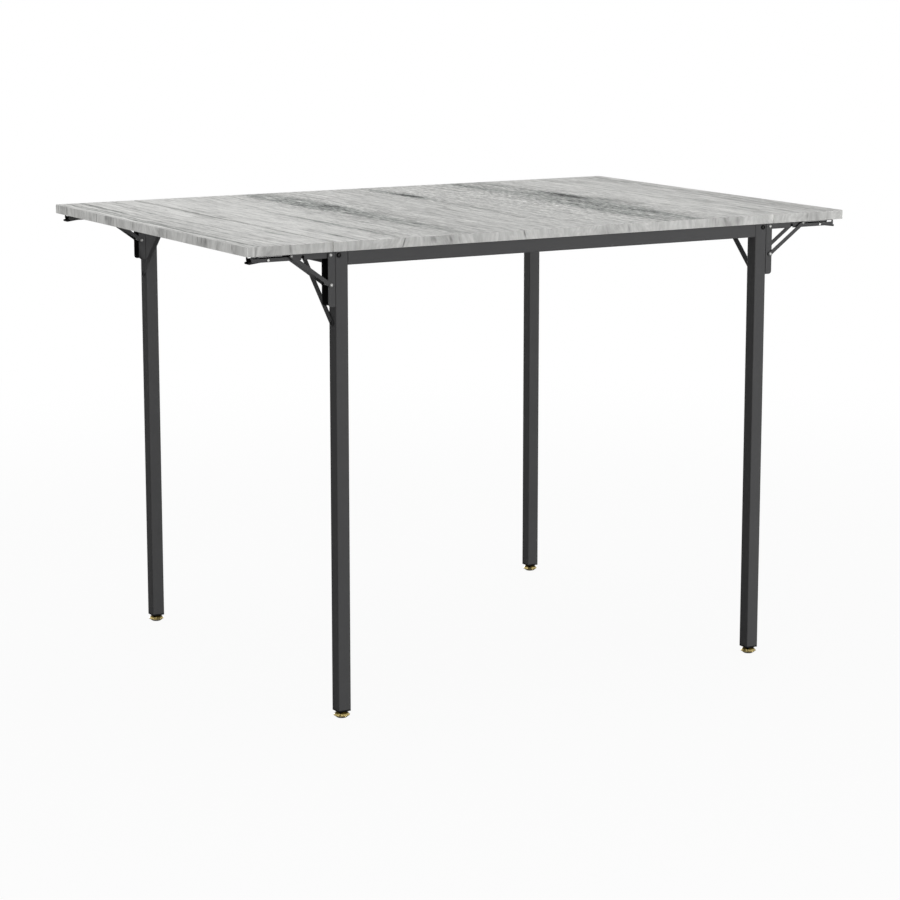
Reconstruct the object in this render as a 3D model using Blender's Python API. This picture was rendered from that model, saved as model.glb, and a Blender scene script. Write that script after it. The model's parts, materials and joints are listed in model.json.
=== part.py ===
"""Drop-leaf dining table: a three-panel laminated top on a square-tube steel frame, with folding brackets.

Metres, +Z up. The origin is on the floor under the middle of the top, +X runs along the top and -Y is the
front. Each end leaf turns down about an axis just below its seam, and two folding brackets carry it. A
bracket is drawn in its own frame: x out from the leg's outer face, y along the table's width from the leg's
middle, and z up from the underside of the top. The brackets on the left legs are the same ones turned half
round.
"""

import math

import bmesh
import bpy
import numpy as np
from mathutils import Matrix

MM = 0.001
GAP = 0.3 * MM

# Sides of round features
HOLE_SIDES = 12
SCREW_HOLE_SIDES = 8
PIN_SIDES = 12
FOOT_SIDES = 20

# Top
TOP_LENGTH = 1110 * MM
TOP_WIDTH = 750 * MM
TOP_HEIGHT = 750 * MM
PANEL_THICKNESS = 15 * MM
PANEL_EDGE_ROUND = 0.8 * MM
SEAM_GAP = 1.5 * MM

# Frame of square tube, measured over the legs' outer faces
FRAME_LENGTH = 806 * MM
FRAME_WIDTH = 732 * MM
TUBE = 22 * MM
TUBE_WALL = 1.2 * MM
TUBE_CORNER = 1.4 * MM

# Leg plugs and levelling feet
FOOT_HEIGHT = 11.2 * MM
FOOT_RADIUS = 13 * MM
FOOT_WIDEST_HEIGHT = 4.4 * MM
FOOT_CHAMFER = 0.7 * MM
FOOT_BASE_RADIUS = 7.8 * MM
FOOT_NECK_RADIUS = 8.6 * MM
FOOT_STEM_RADIUS = 4 * MM
FOOT_STEM_TOP = 33.5 * MM
PLUG_RIM = 2 * MM
PLUG_DEPTH = 24 * MM

# Braces between each leg and its end rail, at 45 degrees on their outer faces
BRACE_WIDTH = 10 * MM
BRACE_THICKNESS = 1.7 * MM
BRACE_DROP = 111 * MM
BRACE_RISE = 100 * MM
BRACE_HOLE_RADIUS = 2.6 * MM

# Bracket: the leaf's axis, the stay's foot below it and the stay's head on the arm
AXIS_OUT = 8 * MM
AXIS_DROP = 5.7 * MM
STAY_FOOT_DROP = 51.5 * MM
STAY_HEAD_OUT = 67 * MM
STAY_HEAD_RISE = 2.3 * MM

# Wall plate, a channel on the leg
PLATE_STEEL = 1.5 * MM
PLATE_WIDTH = 22 * MM
PLATE_DEPTH = 12 * MM
PLATE_LENGTH = 85 * MM
PLATE_TOP_RADIUS = 4.6 * MM
PLATE_FOOT_RADIUS = 5 * MM
PLATE_SCREW_DROPS = (30.6 * MM, 68 * MM)
SCREW_HOLE_RADIUS = 2.2 * MM

# Arm, a channel under the leaf that turns between the wall plate's flanges
ARM_STEEL = 1.5 * MM
ARM_WEB = 1.3 * MM
ARM_WEB_START = 1.5 * MM
ARM_FLANGE_START = 4 * MM
ARM_FLANGE_LOW = -4.8 * MM
ARM_EAR_RADIUS = 4.4 * MM
ARM_TIP_ROUND = 3 * MM
ARM_TIP_STRIP = 2.1 * MM
ARM_SCREWS_OUT = (18 * MM, 58 * MM, 92 * MM)
SLOT_HALF_HEIGHT = 1.3 * MM
SLOT_RISE = 2.2 * MM
SLOT_END_PLAY = 0.4 * MM

# Stay bars, outside the wall plate and the arm
STAY_STEEL = 1.5 * MM
STAY_HALF_WIDTH = 3 * MM
STAY_EYE_RADIUS = 4.2 * MM
STAY_RIVET_RADIUS = 2.2 * MM
STAY_RIVET_HEIGHT = 1 * MM
STAY_SPACER_HEIGHT = 0.9 * MM

# Release lever inside the arm: its pin, its tail past the arm's tip and its catch on the stay's head
LEVER_PIN_OUT = 104 * MM
LEVER_PIN_RISE = -2 * MM
LEVER_WIDTH = 14.4 * MM
LEVER_STEEL = 1.2 * MM
LEVER_HALF_HEIGHT = 2.4 * MM
LEVER_FLANGE_TOP = 2.2 * MM
LEVER_TAIL_OUT = 31.5 * MM
LEVER_TAIL_DROP = 5.3 * MM
LEVER_TAIL_TIP = 1 * MM
LEVER_TAIL_LIP = 3 * MM
LEVER_BEND_OUT = 6 * MM
LEVER_SWEEP_OUT = -18 * MM
LEVER_SWEEP_RISE = 3 * MM
CATCH_HEIGHT = 5.2 * MM
CATCH_LENGTH = 5 * MM
CATCH_NOSE = 1 * MM

# Pins and the lever's return spring
PIN_RADIUS = 1.9 * MM
PIN_HEAD_RADIUS = 2.8 * MM
PIN_HEAD_HEIGHT = 1.1 * MM
LEVER_PIN_RADIUS = 1.5 * MM
LEVER_PIN_HEAD_RADIUS = 2.2 * MM
LEVER_PIN_HEAD_HEIGHT = 0.6 * MM
SPRING_OUT = 117 * MM
SPRING_RADIUS = 2.2 * MM
SPRING_WIRE_RADIUS = 0.35 * MM
SPRING_TURNS = 3.5
SPRING_POINTS_PER_TURN = 8

# Worked out from the sizes above
UNDERSIDE = TOP_HEIGHT - PANEL_THICKNESS
LEG_X = (FRAME_LENGTH - TUBE) / 2
LEG_Y = (FRAME_WIDTH - TUBE) / 2
AXIS_X = FRAME_LENGTH / 2 + AXIS_OUT
LEAF_REACH = TOP_LENGTH / 2 - AXIS_X
LINK = STAY_FOOT_DROP - AXIS_DROP
STAY_LENGTH = math.hypot(STAY_HEAD_OUT, LINK + STAY_HEAD_RISE)
STAY_ANGLE = math.atan2(LINK + STAY_HEAD_RISE, STAY_HEAD_OUT)
STAY_INSIDE = PLATE_WIDTH / 2 + GAP
STAY_OUTSIDE = STAY_INSIDE + STAY_STEEL
SLOT_END_OUT = LINK + math.sqrt(STAY_LENGTH**2 - STAY_HEAD_RISE**2)
SLOT_ROOM = SLOT_HALF_HEIGHT + SLOT_END_PLAY
ARM_WIDTH = PLATE_WIDTH - 2 * PLATE_STEEL - 2 * GAP
ARM_TIP_OUT = SLOT_END_OUT + SLOT_ROOM + ARM_TIP_STRIP
ARM_TOP = AXIS_DROP - GAP
ARM_WEB_LOW = ARM_TOP - ARM_WEB
LEVER_TAIL_RUN = LEVER_TAIL_OUT - LEVER_TAIL_TIP - LEVER_BEND_OUT
LEVER_TAIL_SLOPE = (LEVER_TAIL_DROP - LEVER_HALF_HEIGHT) / LEVER_TAIL_RUN

SIDES = {"left": -1, "right": 1}
ENDS = {"front": -1, "back": 1}


def clear_scene():
    for thing in list(bpy.data.objects):
        bpy.data.objects.remove(thing)


def finish(name, colour, roughness, metallic=0.0):
    """A plain Principled material, with its colour in linear light."""
    material = bpy.data.materials.new(name)
    material.use_nodes = True
    shader = material.node_tree.nodes["Principled BSDF"]
    shader.inputs["Base Color"].default_value = (*colour, 1)
    shader.inputs["Roughness"].default_value = roughness
    shader.inputs["Metallic"].default_value = metallic
    return material


def link(name, data, location=(0, 0, 0), rotation=(0, 0, 0), parent=None):
    thing = bpy.data.objects.new(name, data)
    thing.location = location
    thing.rotation_euler = rotation
    thing.parent = parent
    bpy.context.scene.collection.objects.link(thing)
    return thing


def add(name, mesh, material, location=(0, 0, 0), rotation=(0, 0, 0), parent=None):
    """One named piece, which may share its mesh with another."""
    if not mesh.materials:
        mesh.materials.append(material)
        mesh.shade_smooth()
        mesh.set_sharp_from_angle(angle=math.radians(35))
    return link(name, mesh, location, rotation, parent)


def to_mesh(shape):
    bmesh.ops.recalc_face_normals(shape, faces=shape.faces)
    mesh = bpy.data.meshes.new("shape")
    shape.to_mesh(mesh)
    shape.free()
    return mesh


def moved(mesh, x=0.0, y=0.0, z=0.0):
    mesh.transform(Matrix.Translation((x, y, z)))
    return mesh


def arc(centre, radius, start, end, steps):
    """Points round a centre, from one angle to another in degrees."""
    angles = np.radians(np.linspace(start, end, steps + 1))
    return [(centre[0] + radius * math.cos(a), centre[1] + radius * math.sin(a)) for a in angles]


def circle(centre, radius, sides=HOLE_SIDES):
    return arc(centre, radius, 0, 360 * (sides - 1) / sides, sides - 1)


def rounded_square(side, radius):
    inset = side / 2 - radius
    corners = ((1, 1, 0), (-1, 1, 90), (-1, -1, 180), (1, -1, 270))
    return [
        point
        for x, y, start in corners
        for point in arc((x * inset, y * inset), radius, start, start + 90, 2)
    ]


def box_outline(x_low, x_high, z_low, z_high):
    return [(x_low, z_low), (x_high, z_low), (x_high, z_high), (x_low, z_high)]


def prism(outline, low, high, axis="Y"):
    """An outline carried along an axis.

    It is drawn in x and z to run along Y, in x and y to run along Z, and in y and z to run along X.
    """
    place = {
        "X": lambda point, level: (level, *point),
        "Y": lambda point, level: (point[0], level, point[1]),
        "Z": lambda point, level: (*point, level),
    }[axis]
    shape = bmesh.new()
    lower, upper = ([shape.verts.new(place(p, level)) for p in outline] for level in (low, high))
    shape.faces.new(lower)
    shape.faces.new(upper)
    for i in range(len(outline)):
        shape.faces.new((lower[i - 1], lower[i], upper[i], upper[i - 1]))
    return to_mesh(shape)


def turned(profile, segments):
    """A profile of radius and height spun about Z. It starts and ends on the axis."""
    shape = bmesh.new()
    points = [shape.verts.new((radius, 0, height)) for radius, height in profile]
    edges = [shape.edges.new(pair) for pair in zip(points, points[1:])]
    bmesh.ops.spin(
        shape,
        geom=points + edges,
        axis=(0, 0, 1),
        cent=(0, 0, 0),
        steps=segments,
        angle=math.tau,
    )
    bmesh.ops.remove_doubles(shape, verts=shape.verts, dist=0.001 * MM)
    return to_mesh(shape)


def along_y(mesh, side=1):
    """The mesh turned so that its +Z points to +Y, or to -Y for side -1."""
    mesh.transform(Matrix.Rotation(-side * math.pi / 2, 4, "X"))
    return mesh


def double_headed(half):
    """A pin along Y, from the profile of its half on the +Y side."""
    return along_y(turned([(r, -h) for r, h in reversed(half)] + half, PIN_SIDES))


def boolean(operation, base, tools):
    body = link("boolean_body", base)
    helpers = [link("boolean_tool", tool) for tool in tools]
    for helper in helpers:
        modifier = body.modifiers.new("boolean", "BOOLEAN")
        modifier.operation = operation
        modifier.object = helper
    graph = bpy.context.evaluated_depsgraph_get()
    mesh = bpy.data.meshes.new_from_object(body.evaluated_get(graph))
    for thing in [body, *helpers]:
        bpy.data.objects.remove(thing)
    return mesh


def cut(base, *tools):
    return boolean("DIFFERENCE", base, tools)


def join(base, *tools):
    return boolean("UNION", base, tools)


def panel_mesh(x_low, x_high, z_low):
    """A board over the table's full width, its edges just broken."""
    outline = box_outline(x_low, x_high, z_low, z_low + PANEL_THICKNESS)
    mesh = prism(outline, -TOP_WIDTH / 2, TOP_WIDTH / 2)
    shape = bmesh.new()
    shape.from_mesh(mesh)
    bmesh.ops.bevel(
        shape,
        geom=shape.edges[:],
        offset=PANEL_EDGE_ROUND,
        segments=2,
        profile=0.5,
        affect="EDGES",
    )
    return to_mesh(shape)


def tube_mesh(length):
    """Square tube standing on z = 0, open at both ends."""
    past = TUBE / 2
    bore = rounded_square(TUBE - 2 * TUBE_WALL, TUBE_CORNER - TUBE_WALL)
    return cut(
        prism(rounded_square(TUBE, TUBE_CORNER), 0, length, "Z"),
        prism(bore, -past, length + past, "Z"),
    )


def plug_mesh():
    """The plastic insert at a leg's foot: a rim under the tube, a body up inside it and the stem's bore."""
    body_side = TUBE - 2 * TUBE_WALL - 2 * GAP
    rim = prism(rounded_square(TUBE, TUBE_CORNER), 0, PLUG_RIM, "Z")
    body = prism(rounded_square(body_side, TUBE_CORNER), PLUG_RIM / 2, PLUG_DEPTH, "Z")
    bore = prism(circle((0, 0), FOOT_STEM_RADIUS + GAP), -PLUG_DEPTH, 2 * PLUG_DEPTH, "Z")
    return cut(join(rim, body), bore)


def foot_mesh():
    """A turned brass foot: a double cone under the leg, and a stem that screws up into its plug."""
    neck_top = FOOT_HEIGHT - GAP
    waist_radius = 0.62 * FOOT_NECK_RADIUS + 0.38 * FOOT_RADIUS
    profile = [
        (0, 0),
        (FOOT_BASE_RADIUS, 0),
        (FOOT_RADIUS - FOOT_CHAMFER, FOOT_WIDEST_HEIGHT - FOOT_CHAMFER),
        (FOOT_RADIUS, FOOT_WIDEST_HEIGHT),
        (FOOT_RADIUS - FOOT_CHAMFER, FOOT_WIDEST_HEIGHT + FOOT_CHAMFER),
        (waist_radius, 0.5 * (FOOT_WIDEST_HEIGHT + neck_top)),
        (FOOT_NECK_RADIUS, neck_top),
        (FOOT_STEM_RADIUS, neck_top),
        (FOOT_STEM_RADIUS, FOOT_STEM_TOP),
        (0, FOOT_STEM_TOP),
    ]
    return turned(profile, FOOT_SIDES)


def brace_mesh():
    """A flat bar with round ends, from its lower hole at the origin up along +Z."""
    reach = BRACE_RISE * math.sqrt(2)
    half = BRACE_WIDTH / 2
    outline = arc((0, 0), half, 180, 360, 6) + arc((0, reach), half, 0, 180, 6)
    past = BRACE_THICKNESS
    holes = [
        prism(circle((0, z), BRACE_HOLE_RADIUS, SCREW_HOLE_SIDES), GAP - past, GAP + 2 * past, "X")
        for z in (0, reach)
    ]
    return cut(prism(outline, GAP, GAP + BRACE_THICKNESS, "X"), *holes)


def wall_plate_mesh():
    """A channel against the leg, rounded about the leaf's axis above and at its outer corner below."""
    axis = (AXIS_OUT, -AXIS_DROP)
    side_angle = math.degrees(math.acos((PLATE_DEPTH - AXIS_OUT) / PLATE_TOP_RADIUS))
    foot_corner = (PLATE_DEPTH - PLATE_FOOT_RADIUS, PLATE_FOOT_RADIUS - PLATE_LENGTH)
    outline = [
        (GAP, -PLATE_LENGTH),
        *arc(foot_corner, PLATE_FOOT_RADIUS, 270, 360, 5),
        *arc(axis, PLATE_TOP_RADIUS, side_angle, 90, 4),
        (GAP, PLATE_TOP_RADIUS - AXIS_DROP),
    ]
    inside = PLATE_WIDTH / 2 - PLATE_STEEL
    channel = box_outline(GAP + PLATE_STEEL, 2 * PLATE_DEPTH, -2 * PLATE_LENGTH, PLATE_LENGTH)
    tools = [prism(channel, -inside, inside)]
    for drop in (AXIS_DROP, STAY_FOOT_DROP):
        hole = circle((AXIS_OUT, -drop), PIN_RADIUS + GAP)
        tools.append(prism(hole, -PLATE_WIDTH, PLATE_WIDTH))
    for drop in PLATE_SCREW_DROPS:
        hole = circle((0, -drop), SCREW_HOLE_RADIUS, SCREW_HOLE_SIDES)
        tools.append(prism(hole, -PLATE_STEEL, 3 * PLATE_STEEL, "X"))
    return cut(prism(outline, -PLATE_WIDTH / 2, PLATE_WIDTH / 2), *tools)


def arm_mesh():
    """A channel under the leaf, from its ear on the axis out to an open tip.

    A long slot in both flanges guides the stay's head, and a notch in them clears the stay's pin when the
    leaf hangs. The lever's tail comes out at the tip.
    """
    half = ARM_WIDTH / 2
    ear_start = math.degrees(math.acos(ARM_WEB_START / ARM_EAR_RADIUS))
    tip_corner = (ARM_TIP_OUT - ARM_TIP_ROUND, ARM_FLANGE_LOW + ARM_TIP_ROUND)
    outline = [
        (ARM_WEB_START, ARM_TOP),
        *arc((0, 0), ARM_EAR_RADIUS, ear_start, 270, 6),
        (ARM_FLANGE_START, ARM_FLANGE_LOW),
        *arc(tip_corner, ARM_TIP_ROUND, 270, 360, 3),
        (ARM_TIP_OUT, ARM_TOP),
    ]
    inside = half - ARM_STEEL
    far = 2 * ARM_TIP_OUT
    channel = box_outline(-far, far, -far, ARM_WEB_LOW)
    slot = [
        *arc((STAY_HEAD_OUT - SLOT_END_PLAY, SLOT_RISE), SLOT_HALF_HEIGHT, 90, 270, 4),
        *arc((SLOT_END_OUT + SLOT_END_PLAY, SLOT_RISE), SLOT_HALF_HEIGHT, 270, 450, 4),
    ]
    notch_radius = PIN_RADIUS + 2 * GAP
    notch = [
        *arc((LINK, 0), notch_radius, 0, 180, 6),
        (LINK - notch_radius, -half),
        (LINK + notch_radius, -half),
    ]
    lever_pin_hole = circle((LEVER_PIN_OUT, LEVER_PIN_RISE), LEVER_PIN_RADIUS + GAP)
    tools = [
        prism(channel, -inside, inside),
        prism(slot, -ARM_WIDTH, ARM_WIDTH),
        prism(notch, -ARM_WIDTH, ARM_WIDTH),
        prism(circle((0, 0), PIN_RADIUS + GAP), -ARM_WIDTH, ARM_WIDTH),
        prism(lever_pin_hole, -ARM_WIDTH, ARM_WIDTH),
    ]
    for out in ARM_SCREWS_OUT:
        hole = circle((out, 0), SCREW_HOLE_RADIUS, SCREW_HOLE_SIDES)
        tools.append(prism(hole, 0, 2 * ARM_TOP, "Z"))
    return cut(prism(outline, -half, half), *tools)


def stay_bar_mesh(side):
    """One flat bar of the stay along +X, with an eye on its pin and a rivet through its far end.

    The rivet's head is on the bar's outer face, and its shank stands in as a spacer towards the arm.
    """
    eye_angle = math.degrees(math.asin(STAY_HALF_WIDTH / STAY_EYE_RADIUS))
    outline = [
        *arc((0, 0), STAY_EYE_RADIUS, eye_angle, 360 - eye_angle, 9),
        *arc((STAY_LENGTH, 0), STAY_HALF_WIDTH, 270, 450, 6),
    ]
    bar = prism(outline, *sorted((side * STAY_INSIDE, side * STAY_OUTSIDE)))
    hole = prism(circle((0, 0), PIN_RADIUS + GAP), -2 * STAY_OUTSIDE, 2 * STAY_OUTSIDE)
    shank_end = -STAY_STEEL - STAY_SPACER_HEIGHT
    profile = [
        (0, shank_end),
        (STAY_RIVET_RADIUS, shank_end),
        (STAY_RIVET_RADIUS, 0.4 * STAY_RIVET_HEIGHT),
        (0.6 * STAY_RIVET_RADIUS, STAY_RIVET_HEIGHT),
        (0, STAY_RIVET_HEIGHT),
    ]
    rivet = moved(along_y(turned(profile, PIN_SIDES), side), STAY_LENGTH, side * STAY_OUTSIDE)
    return join(cut(bar, hole), rivet)


def lever_mesh():
    """A channel open above that rocks on its pin, drawn from the pin.

    A catch at the inner end stands in front of the stay's head, over a floor that sweeps up clear of the wall
    plate when the leaf hangs. The tail bends down past the arm's tip.
    """
    low = -LEVER_HALF_HEIGHT
    catch_face = STAY_HEAD_OUT - LEVER_PIN_OUT + SLOT_ROOM
    outline = [
        (catch_face, low + LEVER_SWEEP_RISE),
        (LEVER_SWEEP_OUT, low),
        (LEVER_BEND_OUT, low),
        (LEVER_TAIL_OUT - LEVER_TAIL_TIP, -LEVER_TAIL_DROP),
        (LEVER_TAIL_OUT, LEVER_TAIL_TIP / 2 - LEVER_TAIL_DROP),
        (LEVER_TAIL_OUT, LEVER_TAIL_LIP - LEVER_TAIL_DROP),
        (2 * LEVER_BEND_OUT, LEVER_FLANGE_TOP),
        (catch_face + CATCH_LENGTH, LEVER_FLANGE_TOP),
        (catch_face + CATCH_NOSE, CATCH_HEIGHT),
        (catch_face, CATCH_HEIGHT),
    ]
    far = 2 * LEVER_TAIL_OUT
    floor = low + LEVER_STEEL
    sweep_slope = LEVER_SWEEP_RISE / (LEVER_SWEEP_OUT - catch_face)
    trough = [
        (-far, floor + sweep_slope * (far + LEVER_SWEEP_OUT)),
        (LEVER_SWEEP_OUT, floor),
        (LEVER_BEND_OUT, floor),
        (far, floor - LEVER_TAIL_SLOPE * (far - LEVER_BEND_OUT)),
        (far, far),
        (-far, far),
    ]
    outside = LEVER_WIDTH / 2
    inside = outside - LEVER_STEEL
    return cut(
        prism(outline, -outside, outside),
        prism(trough, -inside, inside),
        prism(circle((0, 0), LEVER_PIN_RADIUS + GAP), -LEVER_WIDTH, LEVER_WIDTH),
    )


def pin_mesh(outer_face):
    """A pin with a domed head against each of the outer faces that it holds together."""
    face = outer_face + GAP
    half = [
        (PIN_RADIUS, face),
        (PIN_HEAD_RADIUS, face),
        (0.7 * PIN_HEAD_RADIUS, face + 0.8 * PIN_HEAD_HEIGHT),
        (0, face + PIN_HEAD_HEIGHT),
    ]
    return double_headed(half)


def lever_pin_mesh():
    """A thin pin across the arm, with flat heads that the stay's bars pass over."""
    face = ARM_WIDTH / 2 + GAP
    end = face + LEVER_PIN_HEAD_HEIGHT
    half = [
        (LEVER_PIN_RADIUS, face),
        (LEVER_PIN_HEAD_RADIUS, face),
        (LEVER_PIN_HEAD_RADIUS - GAP, end),
        (0, end),
    ]
    return double_headed(half)


def spring_curve():
    """A small compression spring between the arm's web and the lever's tail, one unbroken tube."""
    seat_out = SPRING_OUT - SPRING_RADIUS - LEVER_PIN_OUT - LEVER_BEND_OUT
    seat = LEVER_PIN_RISE - LEVER_HALF_HEIGHT + LEVER_STEEL - LEVER_TAIL_SLOPE * seat_out
    low = seat + SPRING_WIRE_RADIUS + GAP
    high = ARM_WEB_LOW - SPRING_WIRE_RADIUS - GAP
    count = int(SPRING_TURNS * SPRING_POINTS_PER_TURN) + 1
    turn = np.linspace(0, math.tau * SPRING_TURNS, count)
    height = np.linspace(low, high, count)
    x = SPRING_OUT + SPRING_RADIUS * np.cos(turn)
    points = np.stack([x, SPRING_RADIUS * np.sin(turn), height], 1)
    apart = np.linalg.norm(points[:, None] - points[None], axis=2)
    steps_apart = np.abs(np.subtract.outer(np.arange(count), np.arange(count)))
    least = apart[steps_apart > SPRING_POINTS_PER_TURN / 2].min() - 2 * SPRING_WIRE_RADIUS
    print(f"lever spring: least gap to itself {least / MM:.2f} mm")
    curve = bpy.data.curves.new("spring", "CURVE")
    curve.dimensions = "3D"
    curve.bevel_depth = SPRING_WIRE_RADIUS
    curve.bevel_resolution = 1
    curve.use_fill_caps = True
    spline = curve.splines.new("POLY")
    spline.points.add(count - 1)
    spline.points.foreach_set("co", np.column_stack([points, np.ones(count)]).ravel())
    return curve


def build_top(laminate, hinges):
    """The middle panel, and an end leaf hung on each hinge."""
    middle = AXIS_X - SEAM_GAP / 2
    add("centre_panel", panel_mesh(-middle, middle, UNDERSIDE), laminate)
    leaf = panel_mesh(SEAM_GAP / 2, LEAF_REACH, AXIS_DROP)
    for side in SIDES:
        add(f"{side}_leaf", leaf, laminate, parent=hinges[side])


def build_frame(coat, plastic, brass):
    """Legs with their plugs and feet, the long rails, the end rails and the braces."""
    leg_foot = FOOT_HEIGHT + PLUG_RIM + GAP
    leg = tube_mesh(UNDERSIDE - GAP - leg_foot)
    plug = plug_mesh()
    foot = foot_mesh()
    brace = brace_mesh()
    for end, y_sign in ENDS.items():
        for side, x_sign in SIDES.items():
            corner = f"{end}_{side}"
            x, y = x_sign * LEG_X, y_sign * LEG_Y
            add(f"{corner}_leg", leg, coat, (x, y, leg_foot))
            add(f"{corner}_leg_plug", plug, plastic, (x, y, FOOT_HEIGHT))
            add(f"{corner}_levelling_foot", foot, brass, (x, y, 0))
            half_turn = 0 if x_sign > 0 else math.pi
            tilt = x_sign * y_sign * math.pi / 4
            face = (x_sign * FRAME_LENGTH / 2, y, UNDERSIDE - BRACE_DROP)
            add(f"{corner}_brace", brace, coat, face, (tilt, 0, half_turn))
    middle = UNDERSIDE - GAP - TUBE / 2
    long_rail = FRAME_LENGTH - 2 * TUBE - 2 * GAP
    rail = tube_mesh(long_rail)
    for end, y_sign in ENDS.items():
        add(f"{end}_rail", rail, coat, (-long_rail / 2, y_sign * LEG_Y, middle), (0, math.pi / 2, 0))
    end_rail = FRAME_WIDTH - 2 * TUBE - 2 * GAP
    rail = tube_mesh(end_rail)
    for side, x_sign in SIDES.items():
        place = (x_sign * LEG_X, end_rail / 2, middle)
        add(f"{side}_end_rail", rail, coat, place, (math.pi / 2, 0, 0))


def build_brackets(coat, zinc, spring_steel, hinges):
    """Four folding brackets: what stays on the leg, the stay's two bars, and what hangs on the leaf."""
    plate = wall_plate_mesh()
    arm = arm_mesh()
    lever = lever_mesh()
    arm_pin = pin_mesh(PLATE_WIDTH / 2)
    stay_pin = pin_mesh(STAY_OUTSIDE)
    lever_pin = lever_pin_mesh()
    bars = {side: stay_bar_mesh(side) for side in (-1, 1)}
    spring = spring_curve()
    spring.materials.append(spring_steel)
    for end, y_sign in ENDS.items():
        for side, x_sign in SIDES.items():
            corner = f"{end}_{side}"
            half_turn = 0 if x_sign > 0 else math.pi
            face = (x_sign * FRAME_LENGTH / 2, y_sign * LEG_Y, UNDERSIDE)
            base = link(f"{corner}_bracket", None, face, (0, 0, half_turn))
            add(f"{corner}_wall_plate", plate, coat, parent=base)
            add(f"{corner}_arm_pin", arm_pin, zinc, (AXIS_OUT, 0, -AXIS_DROP), parent=base)
            foot = (AXIS_OUT, 0, -STAY_FOOT_DROP)
            add(f"{corner}_stay_pin", stay_pin, zinc, foot, parent=base)
            for name, toward in (("outer", 1), ("inner", -1)):
                bar = bars[toward * x_sign * y_sign]
                add(f"{corner}_{name}_stay_bar", bar, coat, foot, (0, -STAY_ANGLE, 0), base)
            hinge = hinges[side]
            along = x_sign * y_sign * LEG_Y
            lever_place = (LEVER_PIN_OUT, along, LEVER_PIN_RISE)
            add(f"{corner}_arm", arm, coat, (0, along, 0), parent=hinge)
            add(f"{corner}_lever_pin", lever_pin, zinc, lever_place, parent=hinge)
            add(f"{corner}_release_lever", lever, coat, lever_place, parent=hinge)
            link(f"{corner}_lever_spring", spring, (0, along, 0), parent=hinge)


def main():
    clear_scene()
    laminate = finish("grey_oak_laminate", (0.50, 0.50, 0.48), 0.55)
    coat = finish("charcoal_powder_coat", (0.035, 0.036, 0.038), 0.5, 0.2)
    zinc = finish("zinc_plate", (0.62, 0.62, 0.60), 0.35, 1.0)
    brass = finish("brass", (0.70, 0.48, 0.16), 0.28, 1.0)
    plastic = finish("black_plastic", (0.012, 0.012, 0.013), 0.55)
    spring_steel = finish("spring_steel", (0.40, 0.40, 0.41), 0.35, 1.0)
    hinges = {
        side: link(
            f"{side}_leaf_hinge",
            None,
            (x_sign * AXIS_X, 0, UNDERSIDE - AXIS_DROP),
            (0, 0, 0 if x_sign > 0 else math.pi),
        )
        for side, x_sign in SIDES.items()
    }
    build_top(laminate, hinges)
    build_frame(coat, plastic, brass)
    build_brackets(coat, zinc, spring_steel, hinges)


main()
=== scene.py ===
"""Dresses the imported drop-leaf table: its finishes, feet, springs and fasteners, and a studio."""

import json
import math

import bpy
import numpy as np
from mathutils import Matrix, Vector


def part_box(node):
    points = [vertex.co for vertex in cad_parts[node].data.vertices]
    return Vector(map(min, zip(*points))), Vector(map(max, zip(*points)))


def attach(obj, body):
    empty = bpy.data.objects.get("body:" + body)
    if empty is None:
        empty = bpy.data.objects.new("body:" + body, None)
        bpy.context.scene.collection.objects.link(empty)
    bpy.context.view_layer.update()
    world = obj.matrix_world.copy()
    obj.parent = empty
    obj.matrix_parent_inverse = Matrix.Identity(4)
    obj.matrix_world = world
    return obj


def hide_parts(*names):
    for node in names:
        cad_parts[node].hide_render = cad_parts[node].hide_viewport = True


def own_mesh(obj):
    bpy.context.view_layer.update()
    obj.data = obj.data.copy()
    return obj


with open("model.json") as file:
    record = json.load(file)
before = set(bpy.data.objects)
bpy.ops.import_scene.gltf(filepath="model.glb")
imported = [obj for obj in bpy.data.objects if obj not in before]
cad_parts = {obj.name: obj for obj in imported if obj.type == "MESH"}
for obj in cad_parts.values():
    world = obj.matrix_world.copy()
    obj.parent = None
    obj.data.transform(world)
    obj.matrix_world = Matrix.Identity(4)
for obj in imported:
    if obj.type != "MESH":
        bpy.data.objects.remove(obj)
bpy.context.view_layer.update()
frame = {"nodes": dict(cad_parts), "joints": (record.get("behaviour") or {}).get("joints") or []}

bl_info = {
    "name": "Drop-Leaf Table",
    "version": (1, 0, 0),
    "blender": (4, 5, 0),
    "location": "View3D > Sidebar > Table",
    "description": "Finishes, feet, springs, fasteners and a studio for a drop-leaf table",
    "category": "Object",
}


def joint_places(ending):
    """The places of the joints whose names have this ending."""
    return {joint["name"]: joint["pos_m"] for joint in frame["joints"] if joint["name"].endswith(ending)}


MM = 0.001
UP, DOWN = (0, 0, 1), (0, 0, -1)
SIDES = {"left": -1, "right": 1}
ENDS = {"front": -1, "back": 1}
LEAVES = {sx: f"{side}_leaf" for side, sx in SIDES.items()}
CORNERS = [(f"{end}_{side}", sx, sy) for end, sy in ENDS.items() for side, sx in SIDES.items()]

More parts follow.
